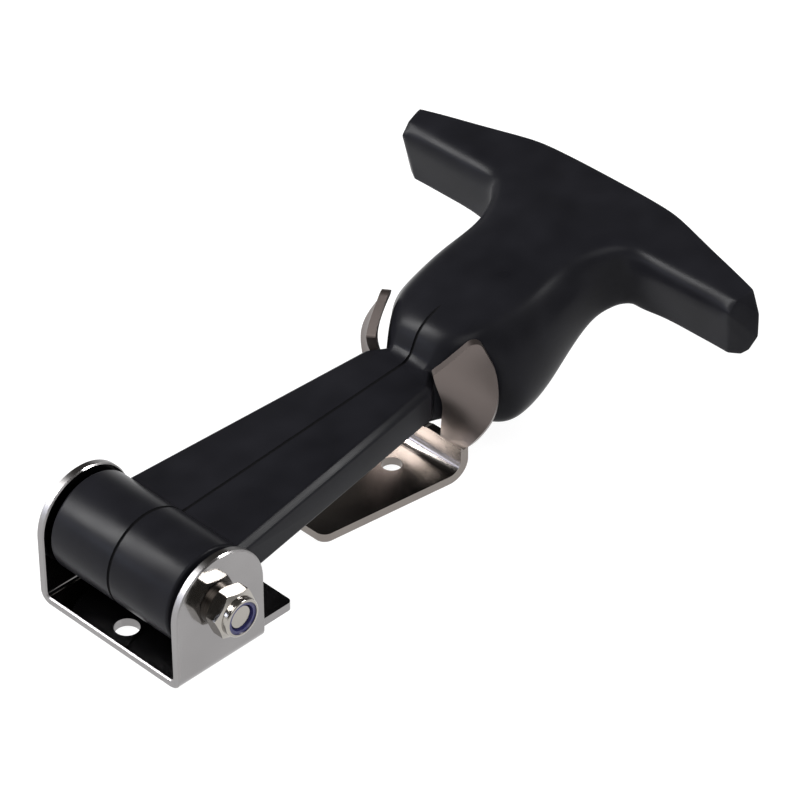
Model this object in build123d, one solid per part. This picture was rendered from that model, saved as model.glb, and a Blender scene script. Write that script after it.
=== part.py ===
from build123d import *
from math import atan2, cos, radians, sin, tan
import os

# Rubber T draw latch, shown closed. Millimetres, +Z up.
# X runs along the strap from the pivot to the handle, Y across it, and Z = 0 is the
# panel that the bracket and the keeper are screwed to. X = Y = 0 is under the pivot.

# --- Pivot fasteners -----------------------------------------------------------------
bolt_diameter = 6.0
bolt_head_height = 4.0
bolt_end_chamfer = 0.5
bolt_end_recess = 0.8
hex_across_flats = 10.0
hex_face_diameter = 9.7
hex_chamfer_angle = 30.0
nut_hex_height = 4.3
nut_collar_height = 2.3
nut_collar_diameter = 8.8
nut_collar_wall = 0.55
nut_collar_chamfer = 0.4
nut_turn = -9.6
insert_height = 1.7
insert_recess = 0.3
shank_clearance = 0.1
sleeve_wall = 1.9

# --- Bracket -------------------------------------------------------------------------
bracket_sheet = 2.0
bracket_bend_radius = 1.0
bracket_opening = 38.4
pivot_height = 16.5
ear_radius = 12.0
ear_edge_chamfer = 0.3
tab_reach = 10.7
tab_inset = 3.2
tab_corner_radius = 1.2
bracket_hole_diameter = 5.5
bracket_front_hole = -7.0
bracket_hole_spacing = 24.0

# --- Rubber arm ----------------------------------------------------------------------
sleeve_running_clearance = 0.05
barrel_diameter = 22.8
barrel_side_gap = 1.5
strap_top_at_pivot = 22.4
strap_rise_angle = 3.6
strap_thickness = 9.6
strap_root = 8.0
strap_root_width = 34.8
strap_end = 71.0
strap_end_width = 20.8
strap_tip = 76.0
strap_tip_width = 12.4
strap_chamfer = 1.5

# --- Keeper --------------------------------------------------------------------------
keeper_sheet = 2.0
keeper_front = 41.8
keeper_front_width = 15.0
keeper_side_angle = 7.84
keeper_corner_radius = 2.4
keeper_wall = 78.0
keeper_bend_radius = 3.0
keeper_hole_diameter = 4.7
keeper_front_hole = 50.0
keeper_hole_spacing = 19.6
notch_floor = 8.1
notch_width = 13.0
horn_root = 8.5
horn_height = 36.4
horn_tip_reach = 9.9
horn_tip_slope = 64.0
horn_corner_radius = 1.2
horn_tip_radius = 2.2

# Front face of one horn, from its root to past its tip: height above the panel, then
# the inner and the outer edge, each as a distance behind the wall's face and from the
# middle. The inner edge comes forward as the horn rises, which is its twist, and from
# the shoulder up it is cut off on a slant to the tip.
horn_shoulder = (29.6, -6.0, 10.0, 4.8, 17.6)
horn_edges = [
    (horn_root, 0.0, 6.4, 0.0, 13.4),
    (12.5, 0.0, 6.6, 0.5, 16.4),
    (17.5, -1.5, 8.4, 1.6, 19.2),
    (21.5, -3.2, 9.7, 2.5, 20.2),
    (25.5, -4.9, 10.2, 3.8, 19.6),
    horn_shoulder,
    (37.4, -7.5, 8.8, 3.1, 13.8),
]

# --- Catch and neck ------------------------------------------------------------------
# Sections across the arm, each with ten corners. A row gives the distance behind the
# wall's face, then height and half width: of the flat top, of the ridge beside it, of the
# upper and the lower end of the side, and of the flat underside. The front rows pass
# between the horns and end in the shoulder that bears on them from behind.
shoulder = (8.9, 36.8, 6.6, 34.7, 12.2, 25.8, 17.9, 16.0, 18.4, 11.4, 14.6)
catch_sections = [
    (-8.0, 26.4, 4.5, 25.8, 7.0, 24.0, 7.2, 19.0, 7.0, 17.8, 6.0),
    (-3.4, 26.9, 4.5, 26.2, 7.0, 24.0, 7.2, 19.0, 7.0, 17.6, 6.0),
    (-1.6, 30.4, 4.5, 29.2, 7.6, 25.5, 7.8, 18.5, 6.6, 16.4, 5.6),
    (0.2, 33.2, 5.0, 31.8, 8.9, 27.0, 9.2, 17.5, 6.6, 15.4, 5.4),
    (4.0, 35.4, 6.0, 33.6, 10.9, 27.5, 11.5, 17.4, 9.6, 14.5, 7.4),
    (9.2, 36.8, 6.5, 34.8, 12.2, 26.6, 13.9, 16.4, 13.2, 12.0, 11.0),
]
neck_sections = [
    shoulder,
    (14.0, 38.2, 6.8, 35.9, 13.2, 26.6, 18.8, 16.2, 18.4, 11.8, 15.0),
    (24.0, 40.4, 6.4, 37.8, 13.3, 30.0, 17.8, 19.0, 17.8, 15.2, 15.2),
    (32.0, 42.0, 6.6, 39.8, 12.8, 32.0, 16.2, 22.8, 16.0, 19.4, 14.2),
    (38.5, 43.1, 8.2, 41.3, 15.8, 35.0, 16.5, 26.4, 16.0, 23.6, 13.8),
    (44.0, 43.6, 11.0, 42.6, 20.2, 38.0, 21.6, 30.2, 21.2, 27.4, 18.8),
    (49.5, 44.0, 14.0, 43.2, 23.0, 40.0, 24.4, 32.0, 24.0, 30.0, 22.0),
]

# --- T handle ------------------------------------------------------------------------
handle_reach = 43.0
handle_length = 15.5
handle_rear_crown = 0.8
handle_straight_width = 39.0
handle_front_width = 97.6
handle_width = 105.6
handle_end_length = 5.6
handle_end_top = 4.6
handle_end_low = 5.8
handle_top = 44.9
handle_front_top = 43.2
handle_bottom = 28.2
handle_front_lean = 2.8
handle_front_lip = 3.6
handle_rear_lean = 2.0
handle_edge_radius = 0.9

bracket_width = bracket_opening + 2 * bracket_sheet
ear_face = bracket_width / 2
nut_height = nut_hex_height + nut_collar_height
sleeve_diameter = bolt_diameter + 2 * (shank_clearance + sleeve_wall)
barrel_length = bracket_opening - 2 * barrel_side_gap
beyond = 400.0

side_plane = Plane(origin=(0, 0, 0), x_dir=(1, 0, 0), z_dir=(0, -1, 0))
end_plane = Plane(origin=(0, 0, 0), x_dir=(0, 1, 0), z_dir=(1, 0, 0))
pivot_axis = Plane(origin=(0, 0, pivot_height), x_dir=(1, 0, 0), z_dir=(0, -1, 0))


def save(shape, node):
    export_step(shape, f"parts/{node}.step")


def along_pivot(radius, start, end):
    """A cylinder on the pivot axis between two distances, both measured towards -Y."""
    return extrude(pivot_axis.offset(start) * Circle(radius), end - start)


def hexagon(height):
    """A hexagon from 0 to height with both ends turned down at the corners."""
    prism = extrude(RegularPolygon(hex_across_flats / 2, 6, major_radius=False), height)
    corner = hex_across_flats / 2 / cos(radians(30))
    face = hex_face_diameter / 2
    drop = (corner - face) * tan(radians(hex_chamfer_angle))
    outline = Polyline(
        (0, 0), (face, 0), (corner, drop), (corner, height - drop), (face, height), (0, height), close=True
    )
    turned = revolve(Plane.XZ * make_face(outline), Axis.Z)
    return prism & turned


def make_bracket():
    tall = 2 * (pivot_height + ear_radius)
    outer = Pos(0, tall / 2) * Rectangle(bracket_width, tall)
    inner = Pos(0, bracket_sheet + tall / 2) * Rectangle(bracket_opening, tall)
    outer = fillet(outer.vertices().group_by(Axis.Y)[0], bracket_bend_radius + bracket_sheet)
    inner = fillet(inner.vertices().group_by(Axis.Y)[0], bracket_bend_radius)
    channel = extrude(end_plane * (outer - inner), ear_radius, both=True)
    ear = Circle(ear_radius)
    foot = Rectangle(2 * ear_radius, tall, align=(Align.CENTER, Align.MAX))
    channel &= extrude(pivot_axis * (ear + foot), tall, both=True)
    rims = channel.edges().filter_by(GeomType.CIRCLE).filter_by(lambda e: e.radius > ear_radius / 2)
    channel = chamfer(rims, ear_edge_chamfer)

    tab = Rectangle(tab_reach + ear_radius, bracket_width - 2 * tab_inset, align=(Align.MAX, Align.CENTER))
    tab = fillet(tab.vertices().group_by(Axis.X)[-1], tab_corner_radius)
    bracket = channel + extrude(Pos(ear_radius + tab_reach, 0) * tab, bracket_sheet)
    bracket -= along_pivot(bolt_diameter / 2 + shank_clearance, -ear_face, ear_face)
    for x in (bracket_front_hole, bracket_front_hole + bracket_hole_spacing):
        bracket -= Pos(x, 0, 0) * Cylinder(bracket_hole_diameter / 2, 3 * bracket_sheet)
    return bracket


def make_pivot_bolt():
    end = ear_face + nut_height - bolt_end_recess
    shank = along_pivot(bolt_diameter / 2, -ear_face, end)
    shank = chamfer(shank.faces().sort_by(Axis.Y)[0].edges(), bolt_end_chamfer)
    head = pivot_axis.offset(-ear_face - bolt_head_height) * hexagon(bolt_head_height)
    return shank + head


def make_lock_nut():
    nut = hexagon(nut_hex_height) + Cylinder(
        nut_collar_diameter / 2, nut_height, align=(Align.CENTER, Align.CENTER, Align.MIN)
    )
    nut = chamfer(nut.faces().sort_by(Axis.Z)[-1].edges(), nut_collar_chamfer)
    nut -= Cylinder(bolt_diameter / 2, 3 * nut_height)
    pocket = nut_collar_diameter / 2 - nut_collar_wall
    depth = insert_recess + insert_height
    nut -= Pos(0, 0, nut_height - depth) * Cylinder(
        pocket, depth, align=(Align.CENTER, Align.CENTER, Align.MIN)
    )
    return pivot_axis.offset(ear_face) * Rot(0, 0, nut_turn) * nut


def make_nylon_insert():
    end = ear_face + nut_height - insert_recess
    pocket = nut_collar_diameter / 2 - nut_collar_wall
    ring = along_pivot(pocket, end - insert_height, end)
    return ring - along_pivot(bolt_diameter / 2, end - insert_height, end)


def make_pivot_sleeve():
    half = bracket_opening / 2
    tube = along_pivot(sleeve_diameter / 2, -half, half)
    return tube - along_pivot(bolt_diameter / 2 + shank_clearance, -half, half)


def catch_section(row):
    """A ten-cornered section that stands across the arm."""
    heights = row[1::2]
    halves = row[2::2]
    right = [(half, height) for height, half in zip(heights, halves)]
    left = [(-half, height) for half, height in reversed(right)]
    plane = Plane(origin=(keeper_wall + row[0], 0, 0), x_dir=(0, 1, 0), z_dir=(1, 0, 0))
    return plane * make_face(Polyline(*right, *left, close=True))


def strap_section(x, width):
    """A chamfered rectangle that stands across the strap at x, under its rising top."""
    top = strap_top_at_pivot + x * tan(radians(strap_rise_angle))
    tall = strap_thickness / cos(radians(strap_rise_angle))
    plane = Plane(origin=(x, 0, top - tall / 2), x_dir=(0, 1, 0), z_dir=(1, 0, 0))
    block = Rectangle(width, tall)
    return plane * chamfer(block.vertices(), strap_chamfer)


def make_handle():
    front = keeper_wall + handle_reach
    rear = front + handle_length
    side = Polyline(
        (front, handle_front_top - handle_front_lip),
        (front, handle_front_top),
        (rear, handle_top),
        (rear - handle_rear_lean, handle_bottom),
        (front + handle_front_lean, handle_bottom),
        close=True,
    )
    side = make_face(side)
    side = fillet(side.vertices(), handle_edge_radius)
    bar = extrude(side_plane * side, handle_width, both=True)

    half = handle_width / 2
    step = handle_straight_width / 2
    corner = rear - handle_rear_crown
    end = front + handle_end_length
    back = ThreePointArc((corner, -step), (rear, 0), (corner, step))
    rest = Polyline(
        (corner, step),
        (end, half),
        (front, handle_front_width / 2),
        (front, -handle_front_width / 2),
        (end, -half),
        (corner, -step),
    )
    bar &= extrude(make_face(Curve() + [back, rest]), beyond)

    middle = (handle_top + handle_bottom) / 2
    top_half = half - handle_end_top
    low_half = half - handle_end_low
    right = ThreePointArc((top_half, handle_top), (half, middle), (low_half, handle_bottom))
    left = ThreePointArc((-low_half, handle_bottom), (-half, middle), (-top_half, handle_top))
    low = Line((low_half, handle_bottom), (-low_half, handle_bottom))
    high = Line((-top_half, handle_top), (top_half, handle_top))
    bar &= extrude(end_plane * make_face(Curve() + [right, low, left, high]), beyond)
    return bar


def make_latch_body():
    half = barrel_length / 2
    barrel = along_pivot(barrel_diameter / 2, -half, half)
    widths = {strap_root: strap_root_width, strap_end: strap_end_width, strap_tip: strap_tip_width}
    strap = loft([strap_section(x, width) for x, width in widths.items()], ruled=True)
    catch = loft([catch_section(row) for row in catch_sections], ruled=True)
    neck = loft([catch_section(row) for row in neck_sections])
    arm = barrel + strap + catch + neck + make_handle()
    arm -= along_pivot(sleeve_diameter / 2 + sleeve_running_clearance, -ear_face, ear_face)
    return arm


def horn_section(row):
    z, inner_x, inner_y, outer_x, outer_y = row
    twist = atan2(outer_x - inner_x, outer_y - inner_y)
    back_x = keeper_sheet * cos(twist)
    back_y = keeper_sheet * sin(twist)
    corners = Polyline(
        (keeper_wall + inner_x, -inner_y),
        (keeper_wall + outer_x, -outer_y),
        (keeper_wall + outer_x + back_x, -outer_y + back_y),
        (keeper_wall + inner_x + back_x, -inner_y + back_y),
        close=True,
    )
    return Pos(0, 0, z) * make_face(corners)


def make_horn():
    horn = loft([horn_section(row) for row in horn_edges])
    z, inner_x, inner_y, outer_x, outer_y = horn_shoulder
    along = Vector(outer_x - inner_x, inner_y - outer_y, 0)
    leaf = Plane(
        origin=(keeper_wall + inner_x, -inner_y, 0), x_dir=along, z_dir=along.cross(Vector(0, 0, 1))
    )
    low_reach = horn_tip_reach + horn_height / tan(radians(horn_tip_slope))
    outline = Polyline(
        (0, 0), (0, z), (horn_tip_reach, horn_height), (low_reach, 0), close=True
    )
    outline = make_face(outline)
    outline = fillet(outline.vertices().sort_by_distance((0, z))[0], horn_corner_radius)
    outline = fillet(outline.vertices().sort_by_distance((horn_tip_reach, horn_height))[0], horn_tip_radius)
    return horn & extrude(leaf * outline, beyond, both=True)


def make_keeper():
    wall_back = keeper_wall + keeper_sheet
    rear_width = keeper_front_width + 2 * (wall_back - keeper_front) * tan(radians(keeper_side_angle))
    fold = Rectangle(wall_back - keeper_front, horn_root, align=(Align.MAX, Align.MIN))
    fold = fillet(fold.vertices().sort_by_distance((0, 0))[0], keeper_bend_radius + keeper_sheet)
    hollow = Pos(-keeper_sheet, keeper_sheet) * Rectangle(beyond, beyond, align=(Align.MAX, Align.MIN))
    hollow = fillet(hollow.vertices().sort_by_distance((0, 0))[0], keeper_bend_radius)
    strip = extrude(side_plane * Pos(wall_back, 0) * (fold - hollow), beyond, both=True)
    outline = Polyline(
        (keeper_front, -keeper_front_width / 2),
        (wall_back, -rear_width / 2),
        (wall_back, rear_width / 2),
        (keeper_front, keeper_front_width / 2),
        close=True,
    )
    outline = make_face(outline)
    outline = fillet(outline.vertices().group_by(Axis.X)[0], keeper_corner_radius)
    keeper = strip & extrude(outline, beyond)

    horn = make_horn()
    keeper += horn
    keeper += mirror(horn, Plane.XZ)
    notch = Pos(0, notch_floor + notch_width / 2) * Circle(notch_width / 2)
    keeper -= extrude(end_plane.offset(keeper_wall - keeper_sheet) * notch, 3 * keeper_sheet)
    for x in (keeper_front_hole, keeper_front_hole + keeper_hole_spacing):
        keeper -= Pos(x, 0, 0) * Cylinder(keeper_hole_diameter / 2, 3 * keeper_sheet)
    return keeper


os.makedirs("parts", exist_ok=True)
save(make_bracket(), "bracket")
save(make_pivot_bolt(), "pivot_bolt")
save(make_lock_nut(), "lock_nut")
save(make_nylon_insert(), "nylon_insert")
save(make_pivot_sleeve(), "pivot_sleeve")
save(make_latch_body(), "latch_body")
save(make_keeper(), "keeper")
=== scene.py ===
# %% [markdown]
# # Rubber T draw latch, closed
#
# A draw latch pulls two parts of a machine together. A steel bracket holds a rubber arm on a bolt,
# a steel keeper stands on the other part, and the arm's catch is stretched over the keeper's two
# horns. The T at the end is what the hand pulls.
#
# Most steel parts come from the CAD model, which already has their true shape, and get their finish
# here. The rubber arm is made again as a skin, because moulded rubber has swelling, blended forms
# that solids only come near to. The lock nut is made again for its rounded corners, and gets the
# washer that lies under it.

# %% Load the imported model
import math

import bpy
import bmesh
from mathutils import Matrix, Vector


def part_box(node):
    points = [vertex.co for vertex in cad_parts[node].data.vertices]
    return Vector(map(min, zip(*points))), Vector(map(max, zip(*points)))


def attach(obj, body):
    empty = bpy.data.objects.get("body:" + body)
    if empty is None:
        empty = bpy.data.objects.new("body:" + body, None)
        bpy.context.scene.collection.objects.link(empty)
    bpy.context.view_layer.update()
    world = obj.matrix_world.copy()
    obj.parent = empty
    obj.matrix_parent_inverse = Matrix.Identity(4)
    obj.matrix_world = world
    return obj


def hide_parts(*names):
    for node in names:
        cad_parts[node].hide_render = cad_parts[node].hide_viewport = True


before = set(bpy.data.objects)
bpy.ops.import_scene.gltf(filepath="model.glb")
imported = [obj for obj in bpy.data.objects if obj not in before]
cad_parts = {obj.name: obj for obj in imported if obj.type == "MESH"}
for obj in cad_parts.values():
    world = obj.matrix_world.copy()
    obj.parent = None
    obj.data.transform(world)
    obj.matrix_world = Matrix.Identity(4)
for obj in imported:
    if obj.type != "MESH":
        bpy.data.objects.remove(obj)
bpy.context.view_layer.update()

MM = 0.001


# %% [markdown]
# ## Camera
#
# A product picture of a small part is taken from some way off with a long lens, so that its edges
# stay almost parallel. The camera is placed by its direction round the latch (azimuth), its height
# above the table (elevation) and its distance from a point in the middle of the latch. Setting it
# this way is easier to read than a position and three angles.

# %% Camera
AIM = Vector((71.42, -0.75, 18.62)) * MM
AZIMUTH, ELEVATION, ROLL = (math.radians(a) for a in (-44.931, 37.034, -0.193))
DISTANCE = 895.5 * MM
SENSOR_WIDTH, FOCAL_LENGTH = 36.0, 189.4

back = Vector(
    (
        math.sin(AZIMUTH) * math.cos(ELEVATION),
        -math.cos(AZIMUTH) * math.cos(ELEVATION),
        math.sin(ELEVATION),
    )
)
level = Vector((math.cos(AZIMUTH), math.sin(AZIMUTH), 0))
rise = back.cross(level)
right = math.cos(ROLL) * level + math.sin(ROLL) * rise
up = back.cross(right)

camera_data = bpy.data.cameras.new("camera")
camera_data.sensor_width = SENSOR_WIDTH
camera_data.lens = FOCAL_LENGTH
camera_data.clip_start = 0.02
camera = bpy.data.objects.new("camera", camera_data)
bpy.context.scene.collection.objects.link(camera)
turn = Matrix((right, up, back)).transposed().to_4x4()
camera.matrix_world = Matrix.Translation(AIM + DISTANCE * back) @ turn
bpy.context.scene.camera = camera
print("camera at, mm:", [round(v / MM) for v in camera.location])


# %% [markdown]
# ## Helpers for materials
#
# Colours are picked as sRGB hex values, the way a paint chart gives them, but the renderer adds
# light in linear values. One function makes that change for every colour. Another adds one node with
# its settings and its links in one call, so that a material reads as a short list. A noise texture's
# scale counts its cells per metre, so a third function works it out from a cell's width.


# %% Helpers for colours and nodes
def linear(hex_colour):
    """A linear RGBA colour from an sRGB hex value such as 'c8c4be'."""
    channels = [int(hex_colour[i : i + 2], 16) / 255 for i in (0, 2, 4)]
    return tuple(c / 12.92 if c <= 0.04045 else ((c + 0.055) / 1.055) ** 2.4 for c in channels) + (1,)


def add(tree, kind, settings=None, **inputs):
    """Add a node. A tuple of (node, 'output name') links, any other value is set on the socket."""
    node = tree.nodes.new(kind)
    for name, value in (settings or {}).items():
        setattr(node, name, value)
    for name, value in inputs.items():
        socket = node.inputs[int(name[1:])] if name[0] == "_" else node.inputs[name.replace("__", " ")]
        if isinstance(value, tuple) and len(value) == 2 and isinstance(value[0], bpy.types.Node):
            tree.links.new(value[0].outputs[value[1]], socket)
        else:
            socket.default_value = value
    return node


def cells(width):
    """The noise scale that makes its cells about width millimetres wide."""
    return 1 / (width * MM)


def new_material(name):
    """An empty material and its node tree."""
    material = bpy.data.materials.new(name)
    material.use_nodes = True
    material.node_tree.nodes.clear()
    return material, material.node_tree


# %% [markdown]
# ## Table
#
# The latch stands on a wide white table. The table is white to the camera and in reflections, but it
# still takes the shadow: part of its white is its own light and part is the light that falls on it,
# so the shaded part is a little darker. To soft, bounced light it is plain white paint. It lies a
# hair below the latch, so that the two faces don't flicker through each other.

# %% Table
TABLE_REACH = 12.0
TABLE_DROP = 0.05 * MM
OWN_LIGHT = 0.93

outline = [(TABLE_REACH * x, TABLE_REACH * y) for x, y in ((-1, -1), (1, -1), (1, 1), (-1, 1))]
table_mesh = bpy.data.meshes.new("table")
table_mesh.from_pydata([(x, y, 0) for x, y in outline], [], [(0, 1, 2, 3)])
table = bpy.data.objects.new("table", table_mesh)
bpy.context.scene.collection.objects.link(table)
table.location.z = -TABLE_DROP

table_white, tree = new_material("white_table")
paint = add(tree, "ShaderNodeBsdfDiffuse", Color=linear("e6e6e6"))
shadow_part = add(tree, "ShaderNodeBsdfDiffuse", Color=linear("7a7a7a"))
own_light = add(tree, "ShaderNodeEmission", Color=linear("ffffff"), Strength=OWN_LIGHT)
seen = add(tree, "ShaderNodeAddShader", _0=(shadow_part, "BSDF"), _1=(own_light, "Emission"))
ray = add(tree, "ShaderNodeLightPath")
larger = {"operation": "MAXIMUM"}
direct = add(tree, "ShaderNodeMath", larger, _0=(ray, "Is Camera Ray"), _1=(ray, "Is Glossy Ray"))
shown = add(tree, "ShaderNodeMath", larger, _0=(direct, "Value"), _1=(ray, "Is Transmission Ray"))
either = add(tree, "ShaderNodeMixShader", _0=(shown, "Value"), _1=(paint, "BSDF"), _2=(seen, "Shader"))
add(tree, "ShaderNodeOutputMaterial", Surface=(either, "Shader"))
table_mesh.materials.append(table_white)
print("table:", 2 * TABLE_REACH, "m wide")

# %% [markdown]
# ## Backdrop
#
# Satin rubber and polished steel show their surroundings more than their own colour. The studio is
# therefore white low down, and dim higher up, so that black rubber stays black on top while its
# rounded edges catch the lamps. The two heights are sines of the angle above the horizon.

# %% Backdrop
WHITE_BELOW, DIM_ABOVE = 0.05, 0.3
world = bpy.data.worlds.new("studio")
world.use_nodes = True
bpy.context.scene.world = world
tree = world.node_tree
tree.nodes.clear()
direction = add(tree, "ShaderNodeTexCoord")
height = add(tree, "ShaderNodeSeparateXYZ", Vector=(direction, "Generated"))
ramp = add(tree, "ShaderNodeValToRGB", Fac=(height, "Z"))
ramp.color_ramp.elements[0].position = WHITE_BELOW
ramp.color_ramp.elements[0].color = linear("ffffff")
ramp.color_ramp.elements[1].position = DIM_ABOVE
ramp.color_ramp.elements[1].color = linear("565452")
background = add(tree, "ShaderNodeBackground", Color=(ramp, "Color"), Strength=1.0)
add(tree, "ShaderNodeOutputWorld", Surface=(background, "Background"))
print("studio: white up to", WHITE_BELOW, "and dim from", DIM_ABOVE)

# %% [markdown]
# ## Lamps
#
# Four soft lamps stand round the table, as large white panels would. The tall one behind and a weak,
# slightly blue one below it draw the long lights on the barrel and the ridges. The one on the right
# lifts the near end of the T, and the large one over the camera fills in.


# %% Lamps
def soft_lamp(name, towards, distance, size, power, colour="ffffff"):
    """An area lamp in the given direction from the latch, facing it. Metres and watts."""
    lamp = bpy.data.lights.new(name, "AREA")
    lamp.shape = "RECTANGLE"
    lamp.size, lamp.size_y = size
    lamp.energy = power
    lamp.color = linear(colour)[:3]
    holder = bpy.data.objects.new(name, lamp)
    bpy.context.scene.collection.objects.link(holder)
    towards = Vector(towards).normalized()
    holder.location = AIM + towards * distance
    holder.rotation_euler = towards.to_track_quat("Z", "Y").to_euler()


soft_lamp("lamp_behind_left", (-0.52, 0.6, 0.62), 1.3, (0.26, 0.75), 22)
soft_lamp("lamp_low_left", (-0.79, 0.56, 0.24), 1.3, (0.3, 0.24), 1.6, "dde6ff")
soft_lamp("lamp_right", (0.62, -0.62, 0.6), 1.3, (0.26, 0.36), 10)
soft_lamp("lamp_over_camera", (-0.6, -0.7, 1.1), 1.6, (0.9, 0.9), 10)

# %% [markdown]
# ## The latch's own sizes
#
# The CAD nodes of the arm and its sleeve give the places that the new skin has to keep: the pivot's
# height, the bore and the barrel's radius. All sizes of the latch are in millimetres from here on.

# %% Sizes
arm_low, _ = (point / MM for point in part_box("latch_body"))
sleeve_low, sleeve_high = (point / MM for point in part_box("pivot_sleeve"))
SLEEVE_PLAY = 0.05
PIVOT_Z = (sleeve_low.z + sleeve_high.z) / 2
BORE_RADIUS = (sleeve_high.z - sleeve_low.z) / 2 + SLEEVE_PLAY
BARREL_RADIUS = -arm_low.x
measures = (PIVOT_Z, BORE_RADIUS, BARREL_RADIUS)
print("pivot height, bore radius, barrel radius:", [round(v, 2) for v in measures])


# %% [markdown]
# ## The rubber arm
#
# The arm is one moulding with three clear forms: a barrel that turns on the steel sleeve, a flat
# strap with cut corners, and the grip, which swells behind the keeper's horns and spreads into the
# T. The barrel is a turned profile and the strap a straight taper, so both are made from a few
# points. The grip has hardly a straight line: it is a cage of a few hundred faces, rounded by
# Subdivision Surface. The cage's lines follow the moulding's own ridges, and a crease value on an
# edge says how tight the ridge stays. At last the three are joined by a Boolean union, as they meet
# in the real moulding in a clear line.


# %% Make a mesh object from points and faces
MERGE_DISTANCE = 1e-7


def solid(name, points, faces):
    """A mesh object from points in millimetres, with its normals turned outwards."""
    mesh = bpy.data.meshes.new(name)
    mesh.from_pydata([Vector(p) * MM for p in points], [], faces)
    work = bmesh.new()
    work.from_mesh(mesh)
    bmesh.ops.remove_doubles(work, verts=work.verts, dist=MERGE_DISTANCE)
    bmesh.ops.recalc_face_normals(work, faces=work.faces)
    work.to_mesh(mesh)
    work.free()
    made = bpy.data.objects.new(name, mesh)
    bpy.context.scene.collection.objects.link(made)
    return made


def finished(piece):
    """The piece as it looks with its modifiers, as a plain mesh, and the modifiers removed."""
    seen_now = piece.evaluated_get(bpy.context.evaluated_depsgraph_get())
    mesh = bpy.data.meshes.new_from_object(seen_now)
    piece.modifiers.clear()
    piece.data = mesh
    return piece


# %% [markdown]
# ### Barrel
#
# The profile runs round the wall of the barrel, from the bore over the rounded end to the outside
# and back, and is turned round the pivot. Each rounded corner is a short arc.


# %% Barrel
def arc(centre, radius, start, end, steps=5):
    """Points on an arc round centre, angles in degrees."""
    angles = [math.radians(start + (end - start) * i / steps) for i in range(steps + 1)]
    return [(centre[0] + radius * math.cos(a), centre[1] + radius * math.sin(a)) for a in angles]


def turned(name, profile, turns):
    """A ring turned round the pivot from a closed profile of (radius, y) points in millimetres."""
    points, faces = [], []
    n = len(profile)
    for i in range(turns):
        angle = 2 * math.pi * i / turns
        points += [(r * math.cos(angle), y, PIVOT_Z + r * math.sin(angle)) for r, y in profile]
        i2 = (i + 1) % turns
        for j in range(n):
            j2 = (j + 1) % n
            faces.append((i * n + j, i * n + j2, i2 * n + j2, i2 * n + j))
    return solid(name, points, faces)


BARREL_HALF = 17.7
BARREL_TURNS = 144
ROUND = 0.7
profile = [(BORE_RADIUS, -BARREL_HALF), (BORE_RADIUS, BARREL_HALF)]
profile += arc((BARREL_RADIUS - ROUND, BARREL_HALF - ROUND), ROUND, 90, 0)
profile += arc((BARREL_RADIUS - ROUND, ROUND - BARREL_HALF), ROUND, 0, -90)
barrel = turned("barrel", profile, BARREL_TURNS)
print("barrel:", len(barrel.data.polygons), "faces")

# %% [markdown]
# ### Strap
#
# A rectangle with cut corners, wide at the barrel and narrow at the catch, lying on a slight slope.
# Just before the catch it narrows fast, to pass between the keeper's horns. A small Bevel takes the
# sharpness off the moulded edges, so that they catch the light.

# %% Strap
STRAP_SLOPE = math.tan(math.radians(3.6))
STRAP_TOP = 22.4
STRAP_DEPTH = 9.62
STRAP_CUT = 1.5
STRAP_EDGE = 0.35
# Distance from the pivot and full width.
STRAP_WIDTHS = [(8.0, 34.8), (40.0, 27.69), (71.0, 20.8), (76.0, 13.4)]


def strap_top(x):
    """Height of the strap's top at x."""
    return STRAP_TOP + STRAP_SLOPE * x


def strap_ring(x, width):
    """Eight corners of the strap's section at x."""
    top = strap_top(x)
    low = top - STRAP_DEPTH
    half, inner = width / 2, width / 2 - STRAP_CUT
    right_half = [(inner, top), (half, top - STRAP_CUT), (half, low + STRAP_CUT), (inner, low)]
    left_half = [(-y, z) for y, z in reversed(right_half)]
    return [(x, y, z) for y, z in right_half + left_half]


rings = [strap_ring(x, width) for x, width in STRAP_WIDTHS]
n = len(rings[0])
points = [p for ring in rings for p in ring]
faces = [tuple(range(n)), tuple(range(len(points) - n, len(points)))]
for k in range(len(rings) - 1):
    for j in range(n):
        j2 = (j + 1) % n
        faces.append((n * k + j, n * k + j2, n * k + n + j2, n * k + n + j))
strap = solid("strap", points, faces)
soften = strap.modifiers.new("soften", "BEVEL")
soften.width = STRAP_EDGE * MM
soften.segments = 3
soften.angle_limit = math.radians(25)
finished(strap)
print("strap:", len(strap.data.polygons), "faces")

# %% [markdown]
# ### Grip: waist, catch and neck
#
# Half a section of the neck has eleven points, from the middle of its top, over the ridge and down
# the side, to the middle of its underside. Sections like it stand one behind the other from the waist,
# which passes between the horns, to the front of the T. Along the ridges the cage stands a little
# outside the wanted skin, because the rounding pulls it in.

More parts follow.
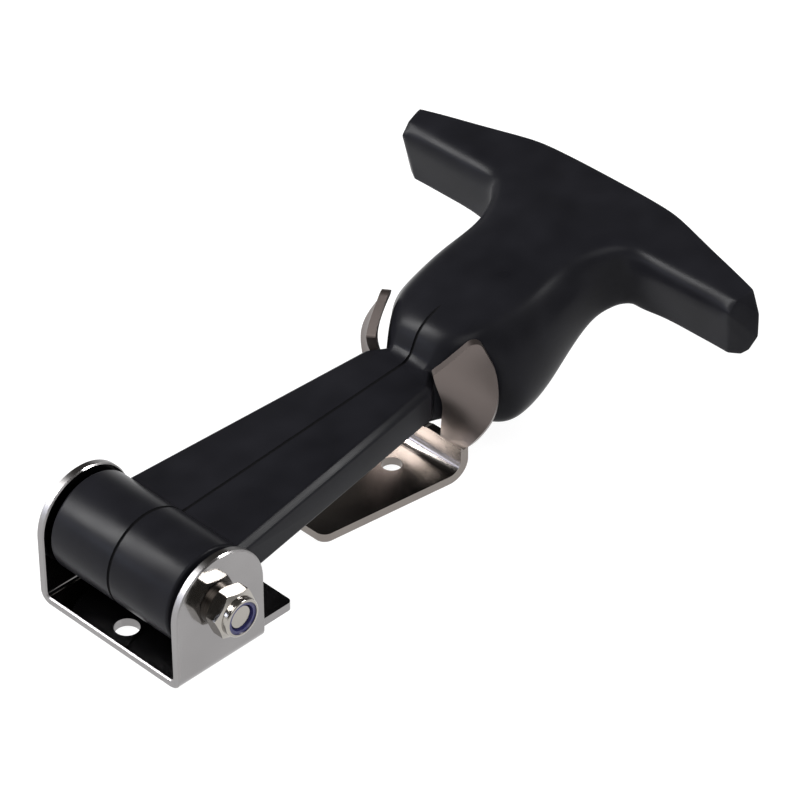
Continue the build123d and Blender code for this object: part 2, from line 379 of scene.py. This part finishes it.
# %% Sections of the waist, catch and neck
# Each row: distance from the pivot, then height and half width of the flat top, of the ridge, of
# the upper and the lower end of the side, and of the underside.
GRIP_ROWS = [
    (69.4, 26.4, 4.4, 25.4, 6.4, 23.6, 7.0, 19.4, 7.0, 17.8, 5.6),
    (74.0, 26.9, 4.4, 25.9, 6.6, 23.8, 7.2, 16.6, 6.8, 14.2, 5.6),
    (75.6, 28.6, 4.4, 27.6, 7.0, 24.6, 7.4, 15.4, 6.6, 12.6, 5.4),
    (77.4, 33.0, 4.8, 31.2, 8.2, 26.6, 8.8, 14.9, 6.4, 12.0, 5.2),
    (80.6, 35.2, 5.6, 33.6, 10.4, 27.6, 11.2, 15.4, 8.6, 11.8, 6.6),
    (84.2, 36.3, 6.2, 34.8, 11.9, 27.6, 13.2, 15.8, 11.8, 11.6, 9.6),
    (86.9, 37.0, 6.6, 35.3, 12.6, 26.8, 18.4, 15.4, 19.8, 10.8, 15.8),
    (92.0, 38.3, 6.8, 36.4, 13.4, 26.8, 19.2, 15.6, 19.9, 11.2, 16.2),
    (99.0, 39.9, 6.8, 38.0, 13.8, 29.2, 18.4, 17.4, 18.9, 13.4, 16.0),
    (105.5, 41.3, 6.6, 39.4, 13.2, 31.4, 17.2, 20.6, 17.4, 17.0, 15.0),
    (111.5, 42.5, 6.9, 40.6, 13.6, 33.2, 16.4, 23.8, 16.4, 20.6, 14.4),
    (116.5, 43.2, 8.4, 41.8, 15.6, 35.6, 17.0, 26.2, 16.6, 23.8, 14.2),
    (119.6, 43.5, 10.5, 42.4, 17.8, 37.0, 19.2, 28.0, 18.8, 25.8, 16.4),
]
# The top rises to its middle and drops at its edge, the side swells a little at its foot, and the
# underside is a little hollow.
CROWN, EDGE_DROP, HOLLOW, SWELL = 0.1, 0.3, 0.2, 0.2
# The ridge lies between two points: one inwards and up from it, one outwards and down.
RIDGE_IN, RIDGE_UP, RIDGE_OUT, RIDGE_DOWN = 1.5, 0.7, 0.8, 1.7


def grip_half(row):
    """Eleven points of half a section, from the top middle to the underside's middle."""
    x, top, flat, ridge_z, ridge, upper_z, upper, lower_z, lower, under, low = row
    return [
        (x, 0, top + CROWN),
        (x, flat * 0.55, top),
        (x, flat * 1.1, top - EDGE_DROP),
        (x, ridge - RIDGE_IN, ridge_z + RIDGE_UP),
        (x, ridge + RIDGE_OUT, ridge_z - RIDGE_DOWN),
        (x, upper, upper_z),
        (x, lower + SWELL, lower_z),
        (x, low, under - HOLLOW),
        (x, low * 0.66, under),
        (x, low * 0.33, under),
        (x, 0, under),
    ]


half_rings = [grip_half(row) for row in GRIP_ROWS]
print("sections from the waist to the T:", len(half_rings))

# %% [markdown]
# ### Rings of the T
#
# The T is a bar across the neck, with eleven points round it at each place along its width. It is
# thickest in the middle, and its rear comes forward towards the ends, where the fingers pull. Its
# end faces are flat cuts, so their points are given one by one.

# %% Rings of the T
T_UNDERSIDE = 27.9
T_RIDGE = 2.6
# How far the faces lean in, at a third and two thirds of the way down and at the underside.
FRONT_LEAN = (0.8, 1.7, 2.5)
REAR_LEAN = (0.7, 1.4, 2.0)


def bar_ring(y, front, rear, top_front, top_rear):
    """Eleven points round the T at one place along it, from the ridge back over the top."""
    ridge_low, low_front, low_rear = top_front - T_RIDGE, front + FRONT_LEAN[2], rear - REAR_LEAN[2]
    return [
        (front + T_RIDGE, y, top_front),
        ((front + T_RIDGE + rear) / 2, y, (top_front + top_rear) / 2 + CROWN),
        (rear, y, top_rear),
        (rear - REAR_LEAN[0], y, (top_rear * 2 + T_UNDERSIDE) / 3),
        (rear - REAR_LEAN[1], y, (top_rear + T_UNDERSIDE * 2) / 3),
        (low_rear, y, T_UNDERSIDE),
        ((low_front + low_rear) / 2, y, T_UNDERSIDE),
        (low_front, y, T_UNDERSIDE),
        (front + FRONT_LEAN[1], y, (ridge_low + T_UNDERSIDE * 2) / 3),
        (front + FRONT_LEAN[0], y, (ridge_low * 2 + T_UNDERSIDE) / 3),
        (front, y, ridge_low),
    ]


# Along the T: distance from the middle, front and rear, and heights of the top at both.
BAR_ROWS = [
    (0.0, 121.0, 136.4, 43.7, 44.8),
    (7.0, 121.0, 136.4, 43.7, 44.8),
    (14.0, 121.0, 136.2, 43.6, 44.8),
    (20.5, 120.9, 135.9, 43.4, 44.7),
    (27.5, 120.9, 133.7, 43.2, 44.6),
    (36.5, 120.9, 131.1, 43.1, 44.3),
    (43.0, 121.0, 129.4, 43.0, 44.1),
]
# The end face: the same eleven points, farther out at the rear and at half height than at the front
# and the underside.
BAR_END = [
    (123.4, 48.6, 42.6),
    (125.4, 49.0, 43.0),
    (127.7, 49.4, 43.6),
    (126.9, 52.2, 38.9),
    (126.3, 52.8, 33.6),
    (125.7, 50.9, 29.5),
    (124.9, 49.4, 28.1),
    (123.4, 46.8, 27.9),
    (122.7, 47.4, 32.2),
    (121.8, 48.0, 36.4),
    (121.0, 48.4, 40.2),
]
bar_rings = [bar_ring(*row) for row in BAR_ROWS] + [BAR_END]

# The bar's ring where the neck flares into the T. The corner under the flare is filled a little.
FLARE = 3
bar_rings[FLARE][7] = (122.2, 20.5, 27.0)
bar_rings[FLARE][8] = (121.9, 20.5, 32.0)
print("rings from the middle of the T to its end:", len(bar_rings))

# %% [markdown]
# ### Cage of the grip
#
# Each face of the cage is made twice, once on each side of the middle. A point that several faces
# share is stored once, and so is a point on the middle line, which both sides share. Where neck and
# bar meet, the cage has the same points for both, so the rounded surface runs from one into the other.

# %% Points and faces of the cage
# The T's ends lie a little to the near side, as they do on the real moulding.
T_FRONT = 120.5
T_SHIFT, FULL_SHIFT_AT = 0.3, 36


def settled(point, side):
    """A cage point on the near side (+1) or mirrored (-1)."""
    x, y, z = point
    off_centre = T_SHIFT * min(1.0, y / FULL_SHIFT_AT) if x > T_FRONT else 0.0
    return (round(x, 4), round(-y * side - off_centre, 4) + 0.0, round(z, 4))


points, faces = [], []
index = {}


def corner(point, side):
    """The number of a cage point, on the near side (+1) or mirrored (-1)."""
    key = settled(point, side)
    if key not in index:
        index[key] = len(points)
        points.append(key)
    return index[key]


def skin(*loop):
    """One face of the cage and its mirror image."""
    for side in (1, -1):
        face = []
        for p in loop:
            number = corner(p, side)
            if number not in face:
                face.append(number)
        faces.append(tuple(face if side == 1 else face[::-1]))


# %% Cover the neck and the T with faces
# The waist, catch and neck, and the faces that close the waist.
for ring, following in zip(half_rings, half_rings[1:]):
    for k in range(10):
        skin(ring[k], ring[k + 1], following[k + 1], following[k])
first = half_rings[0]
for k in range(4):
    skin(first[k], first[k + 1], first[9 - k], first[10 - k])
skin(first[4], first[5], first[6])

# The T, from the neck outwards: faces round the bar, left open in front where the neck comes in.
for station, (here, there) in enumerate(zip(bar_rings, bar_rings[1:])):
    last = 7 if station < FLARE else 11
    for k in range(last):
        k2 = (k + 1) % 11
        skin(here[k], there[k], there[k2], here[k2])

# The neck's last section meets the bar's open front.
inner, edge = bar_rings[:FLARE], bar_rings[FLARE]
mouth = [ring[0] for ring in inner] + [edge[0], edge[10], edge[9], edge[8], edge[7]]
mouth += [ring[7] for ring in reversed(inner)]
neck = half_rings[-1]
for k in range(10):
    skin(neck[k], neck[k + 1], mouth[k + 1], mouth[k])

# The end face of the T.
tip = bar_rings[-1]
skin(tip[0], tip[1], tip[2], tip[3])
skin(tip[10], tip[0], tip[3], tip[4])
skin(tip[9], tip[10], tip[4], tip[5])
skin(tip[8], tip[9], tip[5], tip[6])
skin(tip[7], tip[8], tip[6])
grip = solid("grip", points, faces)
print("cage:", len(points), "points,", len(faces), "faces")

# %% [markdown]
# ### Ridges that stay tight
#
# Subdivision alone would make the whole grip as soft as soap. The real moulding has clear lines along
# the T's edges and at the foot of the catch, so those edges of the cage get a crease: 0 is fully
# rounded and 1 stays a sharp edge.


# %% Ridges that stay tight
def crease(layer, value, line):
    """Give a crease to each edge whose two ends are both on the line, on either side of the middle."""
    chosen = {tuple(round(c, 3) for c in settled(p, side)) for p in line for side in (1, -1)}
    for edge in grip.data.edges:
        ends = [tuple(round(c / MM, 3) for c in grip.data.vertices[v].co) for v in edge.vertices]
        if all(end in chosen for end in ends):
            layer.data[edge.index].value = value


creases = grip.data.attributes.new("crease_edge", "FLOAT", "EDGE")
crease(creases, 0.75, [ring[2] for ring in bar_rings])  # rear edge of the T's top
crease(creases, 0.6, [ring[5] for ring in bar_rings])  # rear edge of the T's underside
crease(creases, 0.6, [ring[7] for ring in bar_rings[FLARE:]])  # front edge of the T's underside
crease(creases, 0.6, BAR_END)  # rim of the end faces
crease(creases, 0.8, half_rings[2])  # foot of the catch, where it rises from the strap
rounding = grip.modifiers.new("rounding", "SUBSURF")
rounding.levels = rounding.render_levels = 3
finished(grip)
print("grip:", len(grip.data.polygons), "faces")

# %% [markdown]
# ### One moulding
#
# The exact Boolean solver is slower than the others, but it gives a closed mesh with clean meeting
# lines, which the seam has to be cut into afterwards. TRANSFER keeps the material of each piece on
# its own faces.


# %% Join the three forms
def combine(piece, other, operation):
    """Join the other piece to this one, cut it away or keep what they share, and delete the other."""
    joint = piece.modifiers.new("joint", "BOOLEAN")
    joint.operation = operation
    joint.solver = "EXACT"
    joint.material_mode = "TRANSFER"
    joint.object = other
    finished(piece)
    bpy.data.objects.remove(other)
    return piece


arm = combine(combine(barrel, strap, "UNION"), grip, "UNION")
arm.name = arm.data.name = "rubber_arm"
print("rubber arm:", len(arm.data.polygons), "faces")

# %% [markdown]
# ### Mould seam
#
# The arm is moulded in two halves that meet in its middle plane, and the mould's edge leaves a groove
# all round. The groove follows a path: along the strap's underside, round the barrel, along the strap's
# top and up the front of the catch, where it rises out of the skin and dies out. On the catch the
# path's heights are found by rays from above, because the rounded skin has no formula. Geometry Nodes
# turn the path into a thin tube, and the tube is cut away from the arm, which leaves part of its round
# section as the groove.

# %% Where the seam runs
SEAM_START, SEAM_END = 68.0, 85.0
SEAM_LIFT = 0.1
FADE_LENGTH, FADE_SLOPE = 3.0, 0.11
ROUND_STEPS = 120
# Where the strap's top and underside run into the barrel, and the path's points along the top.
MEET_TOP, MEET_LOW = 9.4, 10.9
ALONG_TOP = (11, 30, 50, 74)
CATCH_FROM, CATCH_STEP = 75.0, 0.5
ABOVE_ALL, BESIDE_MIDDLE = 80, 0.05


def skin_height(x):
    """Height of the arm's skin above a place on its middle line, found by a ray from above. The ray
    stands a little beside the middle, so that it doesn't run into the edge between two faces."""
    hit, where, _, _ = arm.ray_cast(Vector((x, BESIDE_MIDDLE, ABOVE_ALL)) * MM, Vector((0, 0, -1)))
    return where.z / MM if hit else strap_top(x)


bpy.context.view_layer.update()
meet_top = math.degrees(math.asin((strap_top(MEET_TOP) - PIVOT_Z) / BARREL_RADIUS))
meet_low = math.degrees(math.asin((strap_top(MEET_LOW) - STRAP_DEPTH - PIVOT_Z) / BARREL_RADIUS))
path = [(SEAM_START, 0, strap_top(SEAM_START) - STRAP_DEPTH)]
path += [
    (r, 0, PIVOT_Z + h)
    for r, h in arc((0, 0), BARREL_RADIUS, meet_low, meet_top - 360, ROUND_STEPS)
]
path += [(x, 0, strap_top(x) + SEAM_LIFT) for x in ALONG_TOP]
for i in range(round((SEAM_END - CATCH_FROM) / CATCH_STEP) + 1):
    x = CATCH_FROM + CATCH_STEP * i
    fade = FADE_SLOPE * max(0, x - SEAM_END + FADE_LENGTH)
    path.append((x, 0, skin_height(x) + SEAM_LIFT + fade))
seam_mesh = bpy.data.meshes.new("seam_path")
seam_mesh.from_pydata([Vector(p) * MM for p in path], [(i, i + 1) for i in range(len(path) - 1)], [])
seam = bpy.data.objects.new("mould_seam", seam_mesh)
bpy.context.scene.collection.objects.link(seam)
print("seam path:", len(path), "points")

# %% [markdown]
# ### Painted shade inside the seam
#
# Little light gets into the narrow groove. Its walls get a darker, duller rubber, painted shade, so
# that the line stays clear where it is only a few tenths of a millimetre wide.

# %% Painted shade inside the seam
seam_painted_shade, tree = new_material("seam_rubber_painted_shade")
shade = add(tree, "ShaderNodeBsdfPrincipled", Base__Color=linear("0a0a0c"), Roughness=0.75, IOR=1.5)
shade.inputs["Specular IOR Level"].default_value = 0.1
add(tree, "ShaderNodeOutputMaterial", Surface=(shade, "BSDF"))
print("made", seam_painted_shade.name)

# %% [markdown]
# ### A tube along a path
#
# The node tree turns the path's edges into a curve, spaces its points evenly, and carries a circle
# along it. The three sizes are inputs of the tree, so the same tree could make a cord or a bead.

# %% A tube along a path, with Geometry Nodes
TUBE_RADIUS, TUBE_STEP, TUBE_SIDES = 0.38, 0.5, 10

tree = bpy.data.node_groups.new("tube_along_path", "GeometryNodeTree")
sockets = tree.interface
sockets.new_socket("Geometry", in_out="INPUT", socket_type="NodeSocketGeometry")
sockets.new_socket("Geometry", in_out="OUTPUT", socket_type="NodeSocketGeometry")
radius_socket = sockets.new_socket("Tube Radius", in_out="INPUT", socket_type="NodeSocketFloat")
step_socket = sockets.new_socket("Step", in_out="INPUT", socket_type="NodeSocketFloat")
sides_socket = sockets.new_socket("Sides", in_out="INPUT", socket_type="NodeSocketInt")
given = add(tree, "NodeGroupInput")
line = add(tree, "GeometryNodeMeshToCurve", Mesh=(given, "Geometry"))
even = add(
    tree, "GeometryNodeResampleCurve", {"mode": "LENGTH"},
    Curve=(line, "Curve"), Length=(given, "Step"),
)
ring = add(
    tree, "GeometryNodeCurvePrimitiveCircle",
    Resolution=(given, "Sides"), Radius=(given, "Tube Radius"),
)
tube = add(
    tree, "GeometryNodeCurveToMesh",
    Curve=(even, "Curve"), Profile__Curve=(ring, "Curve"), Fill__Caps=True,
)
real = add(tree, "GeometryNodeRealizeInstances", Geometry=(tube, "Mesh"))
# The tube's faces carry the seam's painted shade, which the cut leaves on the groove's walls.
painted = add(tree, "GeometryNodeSetMaterial", Geometry=(real, "Geometry"), Material=seam_painted_shade)
add(tree, "NodeGroupOutput", Geometry=(painted, "Geometry"))

sweep = seam.modifiers.new("sweep", "NODES")
sweep.node_group = tree
sweep[radius_socket.identifier] = TUBE_RADIUS * MM
sweep[step_socket.identifier] = TUBE_STEP * MM
sweep[sides_socket.identifier] = TUBE_SIDES
finished(seam)
print("seam tube:", len(seam.data.polygons), "faces")

# %% [markdown]
# ### Cut and smooth
#
# After the cut the arm is shaded smooth, but an edge between faces that turn by more than the given
# angle stays sharp, such as the strap's cut corners and the rim of the groove.


# %% Cut the groove
def shade_smooth(piece, sharp_from):
    """Shade the piece smooth, with its edges sharp from the given angle in degrees."""
    piece.data.polygons.foreach_set("use_smooth", [True] * len(piece.data.polygons))
    piece.data.set_sharp_from_angle(angle=math.radians(sharp_from))


combine(arm, seam, "DIFFERENCE")
shade_smooth(arm, 32)
print("rubber arm with its seam:", len(arm.data.polygons), "faces")

# %% [markdown]
# ## Moulded rubber
#
# The arm is EPDM rubber, black with carbon. The mould gives it a smooth satin skin with a faint
# unevenness and soft highlights on the edges. A filled rubber's skin is full of tiny pores that
# swallow light, so it reflects less than clear rubber of the same refractive index would. Its clouds,
# about 9 mm wide, change tone and shine. Its real grain is a few hundredths of a millimetre, too fine
# to show, so it is drawn 0.6 mm wide and very shallow.

# %% Rubber material
PORE_LEVEL = 0.07  # 0.5 would be the full reflection of a smooth surface

rubber, tree = new_material("moulded_epdm_rubber")
place = add(tree, "ShaderNodeTexCoord")
clouds = add(
    tree, "ShaderNodeTexNoise", Vector=(place, "Object"), Scale=cells(9.09), Detail=1.0, Roughness=0.5
)
skin_grain = add(
    tree, "ShaderNodeTexNoise", Vector=(place, "Object"), Scale=cells(0.625), Detail=2.0, Roughness=0.5
)
tone = add(tree, "ShaderNodeValToRGB", Fac=(clouds, "Fac"))
tone.color_ramp.elements[0].color = linear("101013")
tone.color_ramp.elements[1].color = linear("1d1d21")
satin = add(tree, "ShaderNodeMapRange", Value=(clouds, "Fac"), _3=0.24, _4=0.4)
bump = add(tree, "ShaderNodeBump", Height=(skin_grain, "Fac"), Strength=0.15, Distance=0.03 * MM)
body = add(
    tree, "ShaderNodeBsdfPrincipled", Base__Color=(tone, "Color"), Roughness=(satin, "Result"),
    IOR=1.5, Normal=(bump, "Normal"),
)
body.inputs["Specular IOR Level"].default_value = PORE_LEVEL
add(tree, "ShaderNodeOutputMaterial", Surface=(body, "BSDF"))
for number, material in enumerate(arm.data.materials):
    if material is not seam_painted_shade:
        arm.data.materials[number] = rubber
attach(arm, "arm")
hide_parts("latch_body")
print("rubber arm rides on the arm body")

# %% [markdown]
# ## Steel
#
# Bracket, keeper, bolt and nut are stainless steel. Bracket and keeper are pressed from sheet and
# then tumbled and polished, which leaves a bright, slightly uneven surface with very fine marks. The
# clouds in it are about 11 mm wide. The marks would be far finer than the 1.1 mm they are drawn with,
# which is as fine as still shows. Two places are duller. The keeper's horns are rubbed by the rubber
# each time the latch is closed, and the bracket's cut edges keep some of the roughness of the cut:
# they are the faces that look at least partly along X.
# The horns' upper parts are also painted a darker colour there: painted shade.


# %% Stainless steel
# Between these heights the horns turn rougher, and they are painted darker too: painted shade.
RUBBED_AND_SHADED_FROM, RUBBED_AND_SHADED_TO = 7.0, 14.0  # heights between which the horns turn dull
FACE_BELOW, EDGE_ABOVE = 0.05, 0.4  # how far a face looks along X, for a sheet's face and its cut edge


def steel(name, colour, dark, roughness, wave, rubbed_and_shaded=0.0, edges=0.0):
    """Polished stainless steel with faint clouding and fine marks. Its upper parts are rougher by the
    rubbed amount and are painted a darker colour, painted shade, and its cut edges are rougher by edges."""
    material, tree = new_material(name)
    place = add(tree, "ShaderNodeTexCoord")
    clouds = add(
        tree, "ShaderNodeTexNoise", Vector=(place, "Object"), Scale=cells(11.11), Detail=1.0, Roughness=0.5
    )
    marks = add(
        tree, "ShaderNodeTexNoise", Vector=(place, "Object"), Scale=cells(1.111), Detail=2.0, Roughness=0.6
    )
    mixed = {"data_type": "RGBA"}
    weighted = {"operation": "MULTIPLY_ADD"}
    tint = add(tree, "ShaderNodeMix", mixed, _0=(clouds, "Fac"), _6=linear(dark), _7=linear(colour))
    shine = add(tree, "ShaderNodeMapRange", Value=(clouds, "Fac"), _3=roughness * 0.6, _4=roughness * 1.4)

    axes = add(tree, "ShaderNodeSeparateXYZ", Vector=(place, "Object"))
    upper = add(
        tree, "ShaderNodeMapRange", Value=(axes, "Z"),
        _1=RUBBED_AND_SHADED_FROM * MM, _2=RUBBED_AND_SHADED_TO * MM, _3=0.0, _4=1.0 if rubbed_and_shaded else 0.0,
    )
    scuffed = add(tree, "ShaderNodeMath", weighted, _0=(upper, "Result"), _1=rubbed_and_shaded, _2=(shine, "Result"))
    facing = add(tree, "ShaderNodeSeparateXYZ", Vector=(place, "Normal"))
    along = add(tree, "ShaderNodeMath", {"operation": "ABSOLUTE"}, _0=(facing, "X"))
    cut_edge = add(
        tree, "ShaderNodeMapRange", Value=(along, "Value"), _1=FACE_BELOW, _2=EDGE_ABOVE, _3=0.0, _4=edges
    )
    worn = add(tree, "ShaderNodeMath", {"operation": "ADD"}, _0=(scuffed, "Value"), _1=(cut_edge, "Result"))
    # Painted shade: the keeper's upper parts are mixed towards a darker colour.
    shade = add(
        tree, "ShaderNodeMix", mixed, _0=(upper, "Result"), _6=(tint, "Result"), _7=linear("6c6461")
    )

    height = add(tree, "ShaderNodeMath", weighted, _0=(marks, "Fac"), _1=0.04, _2=(clouds, "Fac"))
    bump = add(tree, "ShaderNodeBump", Height=(height, "Value"), Strength=wave, Distance=0.3 * MM)
    metal = add(
        tree, "ShaderNodeBsdfPrincipled", Base__Color=(shade, "Result"), Metallic=1.0,
        Roughness=(worn, "Value"), Normal=(bump, "Normal"),
    )
    add(tree, "ShaderNodeOutputMaterial", Surface=(metal, "BSDF"))
    return material


sheet_steel = steel("polished_stainless_sheet", "989696", "8a8888", 0.13, 0.06, edges=0.3)
keeper_steel = steel("tumbled_stainless_sheet", "8c8681", "7a7470", 0.24, 0.06, rubbed_and_shaded=0.2)
bolt_steel = steel("turned_stainless_bolt", "aaa6a0", "96928c", 0.16, 0.08)
# The washer's steel is painted dark: painted shade for the gap between nut and ear.
washer_steel_painted_shade = steel("washer_steel_painted_dark_as_shade", "5c5650", "4a4540", 0.3, 0.1)
print("steels:", [m.name for m in (sheet_steel, keeper_steel, bolt_steel, washer_steel_painted_shade)])

# %% [markdown]
# ## Nylon
#
# The ring in the lock nut's collar is moulded nylon, dyed dark blue. It grips the bolt's thread so
# that the nut can't work loose. It is satin, with a slight unevenness about 1.4 mm wide.

# %% Nylon
nylon, tree = new_material("moulded_nylon_ring")
place = add(tree, "ShaderNodeTexCoord")
clouds = add(tree, "ShaderNodeTexNoise", Vector=(place, "Object"), Scale=cells(1.43), Detail=2.0)
tone = add(
    tree, "ShaderNodeMix", {"data_type": "RGBA"},
    _0=(clouds, "Fac"), _6=linear("1e1e48"), _7=linear("2c2c60"),
)
bump = add(tree, "ShaderNodeBump", Height=(clouds, "Fac"), Strength=0.2, Distance=0.1 * MM)
plastic = add(
    tree, "ShaderNodeBsdfPrincipled", Base__Color=(tone, "Result"), Roughness=0.35,
    IOR=1.53, Normal=(bump, "Normal"),
)
add(tree, "ShaderNodeOutputMaterial", Surface=(plastic, "BSDF"))
print("made", nylon.name)

# %% [markdown]
# ## Closed front hole
#
# The CAD model gives the keeper two screw holes, one behind the other. The real keeper is most likely
# plain at its front end, so a disc of the same sheet closes the front hole, flush with both faces.

# %% Closed front hole
HOLE_X, HOLE_RADIUS, KEEPER_SHEET = 50.0, 2.35, 2.0
DISC_SIDES = 64


def polygon(centre, radius, sides, first=0.0):
    """Corners of a regular polygon, the first one at the given angle in degrees."""
    return arc(centre, radius, first, first + 360 * (sides - 1) / sides, sides - 1)


def prism(name, low_ring, high_ring):
    """A prism between two rings with the same number of corners."""
    n = len(low_ring)
    faces = [tuple(range(n)), tuple(range(n, 2 * n))]
    faces += [(i, (i + 1) % n, n + (i + 1) % n, n + i) for i in range(n)]
    return solid(name, low_ring + high_ring, faces)


circle = polygon((HOLE_X, 0), HOLE_RADIUS, DISC_SIDES)
disc = prism("closed_front_hole", *([(x, y, z) for x, y in circle] for z in (0.0, KEEPER_SHEET)))
disc.data.materials.append(keeper_steel)
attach(disc, "base")
print("closed hole:", len(disc.data.polygons), "faces")

# %% [markdown]
# ## Lock nut
#
# The nut is made again with what such a nut has beyond a plain hexagon: the corners are turned down at
# both ends, and the collar that holds the nylon ring is rolled over at its rim. The hexagon is what a
# bar of six sides and a turned blank have in common, which gives the curved edges where the turned
# cone meets the flats. Its box in the CAD model says where it starts and ends.

# %% Lock nut
nut_low, nut_high = (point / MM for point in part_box("lock_nut"))
EAR_FACE, NUT_END = nut_high.y, nut_low.y
WASHER_THICKNESS = 1.05
NUT_FLATS, NUT_TURN, NUT_CORNER = 10.0, -9.6, 0.12
HEX_HEIGHT = 3.98
CONE_HEIGHT, CONE_RADIUS, PAST_CORNERS = 0.98, 4.5, 6.2
SHANK_RADIUS, POCKET_RADIUS, POCKET_FLOOR = 2.5, 3.85, 3.5
COLLAR_RADIUS, COLLAR_ROLL, COLLAR_ROOT = 4.4, 0.5, 3.3
NUT_TURNS = 96

foot = EAR_FACE - WASHER_THICKNESS
hexagon = polygon((0, PIVOT_Z), NUT_FLATS / 2 / math.cos(math.radians(30)), 6, NUT_TURN)
hex_bar = prism("hex_bar", *([(x, y, z) for x, z in hexagon] for y in (EAR_FACE, NUT_END)))
worn = hex_bar.modifiers.new("worn", "BEVEL")
worn.width = NUT_CORNER * MM
worn.segments = 2
finished(hex_bar)

blank = [
    (SHANK_RADIUS, foot),
    (CONE_RADIUS, foot),
    (PAST_CORNERS, foot - CONE_HEIGHT),
    (PAST_CORNERS, foot - HEX_HEIGHT + CONE_HEIGHT),
    (CONE_RADIUS, foot - HEX_HEIGHT),
    (POCKET_RADIUS, foot - HEX_HEIGHT),
    (POCKET_RADIUS, foot - POCKET_FLOOR),
    (SHANK_RADIUS, foot - POCKET_FLOOR),
]
nut = combine(turned("lock_nut_skin", blank, NUT_TURNS), hex_bar, "INTERSECT")
rim = [(POCKET_RADIUS, foot - COLLAR_ROOT), (COLLAR_RADIUS, foot - COLLAR_ROOT)]
rim += arc((COLLAR_RADIUS - COLLAR_ROLL, NUT_END + COLLAR_ROLL), COLLAR_ROLL, 0, -110, 8)
combine(nut, turned("collar", rim, NUT_TURNS), "UNION")
print("lock nut:", len(nut.data.polygons), "faces")

# %% [markdown]
# ## Washer
#
# A plain washer lies between the nut and the bracket's ear. Its steel is painted dark, painted shade for
# the narrow gap between them. It is a turned ring with a small bevel towards the nut. Nut and washer
# are fixed to the base, as they don't turn with the arm.

# %% Washer
WASHER_RADIUS, WASHER_BEVEL, WASHER_PLAY = 4.7, 0.15, 0.15
inside = SHANK_RADIUS + WASHER_PLAY
washer_profile = [
    (inside, EAR_FACE),
    (WASHER_RADIUS, EAR_FACE),
    (WASHER_RADIUS, foot + WASHER_BEVEL),
    (WASHER_RADIUS - WASHER_BEVEL, foot),
    (inside, foot),
]
washer = turned("washer", washer_profile, NUT_TURNS)
for piece, finish in ((nut, bolt_steel), (washer, washer_steel_painted_shade)):
    shade_smooth(piece, 25)
    piece.data.materials.clear()
    piece.data.materials.append(finish)
    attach(piece, "base")
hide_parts("lock_nut")
print("washer:", len(washer.data.polygons), "faces")

# %% [markdown]
# ## Finish the CAD nodes
#
# The other pieces are the CAD model's own, so only the material in each of their slots is changed.

# %% Finish the CAD nodes
FINISHES = {
    "bracket": sheet_steel,
    "keeper": keeper_steel,
    "pivot_bolt": bolt_steel,
    "pivot_sleeve": bolt_steel,
    "nylon_insert": nylon,
}
for node, finish in FINISHES.items():
    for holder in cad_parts[node].material_slots:
        holder.material = finish
    print(node, "has", finish.name)

# %% [markdown]
# ## View settings
#
# The Standard view shows each colour as it was picked, without the film-like curve that would grey
# the white table.

# %% View settings
bpy.context.scene.view_settings.view_transform = "Standard"
